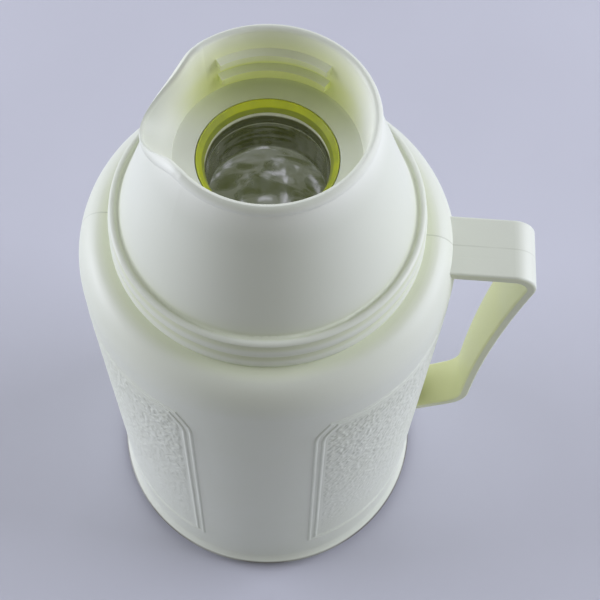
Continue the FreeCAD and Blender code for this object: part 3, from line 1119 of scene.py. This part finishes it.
@dataclass(frozen=True)
class ScrewThread:
    """Rounded thread ridge wound on a spigot or in a bore, tapering out at both ends."""

    name: str
    body: Body
    radius: float
    bottom: float
    pitch: float
    turns: float
    ridge: float = 0.75 * MILLIMETRE
    steps_per_turn: int = 72
    ridge_sides: int = 10
    taper: Step = Step(0.0, 0.08, 0.1, 1.0)

    def build(self, material: bpy.types.Material) -> bpy.types.Object:
        """Wind the ridge.

        Args:
            material: Plastic of the piece that carries the thread.

        Returns:
            The thread.
        """
        recipe = Recipe(self.name)
        radius = recipe.size("Radius", self.radius)
        turns = recipe.size("Turns", self.turns)
        spiral = recipe.node("GeometryNodeCurveSpiral", {}, {
            "Resolution": self.steps_per_turn,
            "Rotations": turns,
            "Start Radius": radius,
            "End Radius": radius,
            "Height": turns * recipe.size("Pitch", self.pitch),
        })
        lift = {"Geometry": spiral, "Translation": (0.0, 0.0, self.bottom)}
        lifted = recipe.node("GeometryNodeTransform", {}, lift)
        upright = recipe.node("GeometryNodeSetCurveNormal", {"mode": "Z_UP"}, {"Curve": lifted})
        section = recipe.node("GeometryNodeCurvePrimitiveCircle", {}, {
            "Resolution": self.ridge_sides,
            "Radius": recipe.size("Ridge", self.ridge),
        })
        along = recipe.node("GeometryNodeSplineParameter", out="Factor")
        ridge = recipe.node("GeometryNodeCurveToMesh", {}, {
            "Curve": upright,
            "Profile Curve": section,
            "Scale": (0.5 - abs(along - 0.5)).rise(self.taper),
            "Fill Caps": True,
        })
        return recipe.piece(ridge, material)


def paint_node(node: str, material: bpy.types.Material) -> None:
    """Give a CAD node its finish.

    Args:
        node: Name of the node.
        material: The finish.
    """
    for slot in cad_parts[node].material_slots:
        slot.material = material
    log.info("%s painted with %s", node, material.name)


def seat(piece: bpy.types.Object, body: Body) -> None:
    """Fasten a finished plastic piece to a body.

    Args:
        piece: The piece, at its place.
        body: Body that it rides on.
    """
    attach(piece, body.value)
    log.info("%s rides on %s, %d faces", piece.name, body.value, len(piece.data.polygons))


@dataclass
class Casing:
    """Casing with its handle, stippled panels and the threads of its neck and foot."""

    plastic: IvoryPlastic
    neck: ScrewThread = ScrewThread(
        "neck_thread",
        Body.CASING,
        radius=44.1 * MILLIMETRE,
        bottom=196.0 * MILLIMETRE,
        pitch=COLLAR_PITCH,
        turns=1.5,
    )
    foot: ScrewThread = ScrewThread(
        "foot_thread",
        Body.CASING,
        radius=61.7 * MILLIMETRE,
        bottom=5.0 * MILLIMETRE,
        pitch=BASE_PITCH,
        turns=2.5,
    )

    def build(self) -> None:
        """Paint the nodes, then add the panels and threads."""
        material = self.plastic.material(Piece.CASING)
        paint_node("body_casing", material)
        paint_node("handle", self.plastic.material(Piece.HANDLE))
        grained = self.plastic.material(Piece.PANEL)
        for side in Side:
            seat(StipplePanel(side).build(grained), Body.CASING)
        for thread in (self.neck, self.foot):
            seat(thread.build(material), thread.body)


@dataclass
class PouringCollar:
    """Collar with its spout, and the thread in its skirt."""

    plastic: IvoryPlastic
    thread: ScrewThread = ScrewThread(
        "collar_thread",
        Body.COLLAR,
        radius=45.7 * MILLIMETRE,
        bottom=195.0 * MILLIMETRE,
        pitch=COLLAR_PITCH,
        turns=2.0,
    )

    def build(self) -> None:
        """Paint the collar and add its thread."""
        material = self.plastic.material(Piece.COLLAR)
        paint_node("spout_collar", material)
        seat(self.thread.build(material), self.thread.body)


@dataclass
class Liner:
    """Glass liner with its neck seal, spacers and cushion."""

    glass: SilveredGlass
    seal: SealRubber
    pad: FibrePad
    cushion: CushionRubber

    def build(self) -> None:
        """Paint the liner's nodes."""
        for flask in Flask:
            paint_node("liner_%s_flask" % flask.value, self.glass.material(flask))
        paint_node("liner_spacer_pads", self.pad.material())
        paint_node("base_cushion", self.cushion.material())
        paint_node("neck_seal", self.seal.material())


@dataclass
class Base:
    """Screw-in base cap with the thread on its boss."""

    plastic: IvoryPlastic
    thread: ScrewThread = ScrewThread(
        "boss_thread",
        Body.BASE,
        radius=60.1 * MILLIMETRE,
        bottom=4.5 * MILLIMETRE,
        pitch=BASE_PITCH,
        turns=2.5,
    )

    def build(self) -> None:
        """Paint the cap and add its thread."""
        material = self.plastic.material(Piece.BASE)
        paint_node("base_cap", material)
        seat(self.thread.build(material), self.thread.body)


@dataclass(frozen=True)
class Softbox:
    """A square studio light that points at the jug, with its power in watts."""

    name: str
    place: Place
    power: float
    size: float
    colour: Colour = (0.98, 1.0, 1.16)
    aim: Place = (0.0, 0.0, 0.12)

    def build(self) -> None:
        """Hang the light."""
        lamp = bpy.data.lights.new(self.name, "AREA")
        lamp.energy = self.power
        lamp.size = self.size
        lamp.color = self.colour
        holder = bpy.data.objects.new(self.name, lamp)
        holder.location = self.place
        direction = Vector(self.aim) - Vector(self.place)
        holder.rotation_euler = direction.to_track_quat("-Z", "Y").to_euler()
        bpy.context.scene.collection.objects.link(holder)


@dataclass
class Studio:
    """Floor, world light, soft side lights and the camera of the picture."""

    paper: FloorPaper
    floor_radius: float = 0.8
    floor_sides: int = 128
    softboxes: tuple[Softbox, ...] = (
        Softbox("left_softbox", place=(-1.30, 0.12, 0.46), power=12.8, size=0.8),
        Softbox("right_softbox", place=(1.30, 0.27, 0.68), power=16.3, size=1.0),
        Softbox("back_softbox", place=(-0.3, 1.4, 0.9), power=7.2, size=1.5),
    )
    ambient: Colour = (0.240, 0.240, 0.222)
    backdrop: Colour = (0.60, 0.61, 0.70)
    camera_place: Place = (0.01545, -0.1921, 0.514)
    camera_dip: float = math.radians(62.98)
    camera_turn: float = math.radians(4.6)
    camera_near: float = 0.01
    focal_pixels: float = 1117.0
    axis_pixel: float = 267.5
    picture_pixels: float = 600.0

    def build(self) -> None:
        """Set up everything round the jug."""
        scene = bpy.context.scene
        scene.view_settings.view_transform = "Standard"
        self.lay_floor()
        self.light_world()
        for softbox in self.softboxes:
            softbox.build()
        scene.camera = self.set_camera()

    def lay_floor(self) -> None:
        """Lay the paper as one round sheet."""
        mesh = bpy.data.meshes.new("floor")
        corners = []
        for index in range(self.floor_sides):
            angle = math.tau * index / self.floor_sides
            corners.append((self.floor_radius * math.cos(angle), self.floor_radius * math.sin(angle), 0.0))
        mesh.from_pydata(corners, [], [tuple(range(self.floor_sides))])
        mesh.materials.append(self.paper.material())
        floor = bpy.data.objects.new("floor", mesh)
        bpy.context.scene.collection.objects.link(floor)

    def light_world(self) -> None:
        """Give the room its soft light, and a pale backdrop where it is seen."""
        world = bpy.data.worlds.new("room")
        bpy.context.scene.world = world
        world.use_nodes = True
        room = Graph(world.node_tree)
        room.tree.nodes.clear()
        seen = room.node("ShaderNodeLightPath", out="Is Camera Ray")
        rays = seen.socket.node.outputs
        for ray in ("Is Glossy Ray", "Is Transmission Ray"):
            seen = seen + Value(room, rays[ray])
        soft = room.node("ShaderNodeBackground", {}, {"Color": (*self.ambient, 1.0)})
        pale = room.node("ShaderNodeBackground", {}, {"Color": (*self.backdrop, 1.0)})
        sockets = {"Fac": seen.least(1.0), "Shader": soft, "Shader_001": pale}
        both = room.node("ShaderNodeMixShader", {}, sockets)
        room.node("ShaderNodeOutputWorld", {}, {"Surface": both})

    def set_camera(self) -> bpy.types.Object:
        """Place the camera of the picture.

        Returns:
            The camera.
        """
        lens = bpy.data.cameras.new("picture_camera")
        lens.lens = lens.sensor_width * self.focal_pixels / self.picture_pixels
        lens.shift_x = 0.5 - self.axis_pixel / self.picture_pixels
        lens.clip_start = self.camera_near
        camera = bpy.data.objects.new("picture_camera", lens)
        camera.location = self.camera_place
        camera.rotation_euler = (math.pi / 2 - self.camera_dip, 0.0, self.camera_turn)
        bpy.context.scene.collection.objects.link(camera)
        return camera


def main() -> None:
    """Dress the jug and set up its studio."""
    logging.basicConfig(level=logging.INFO, format="%(name)s: %(message)s")
    plastic = IvoryPlastic()
    Casing(plastic).build()
    PouringCollar(plastic).build()
    Liner(SilveredGlass(), SealRubber(), FibrePad(), CushionRubber()).build()
    Base(plastic).build()
    Studio(FloorPaper()).build()


if __name__ == "__main__":
    main()
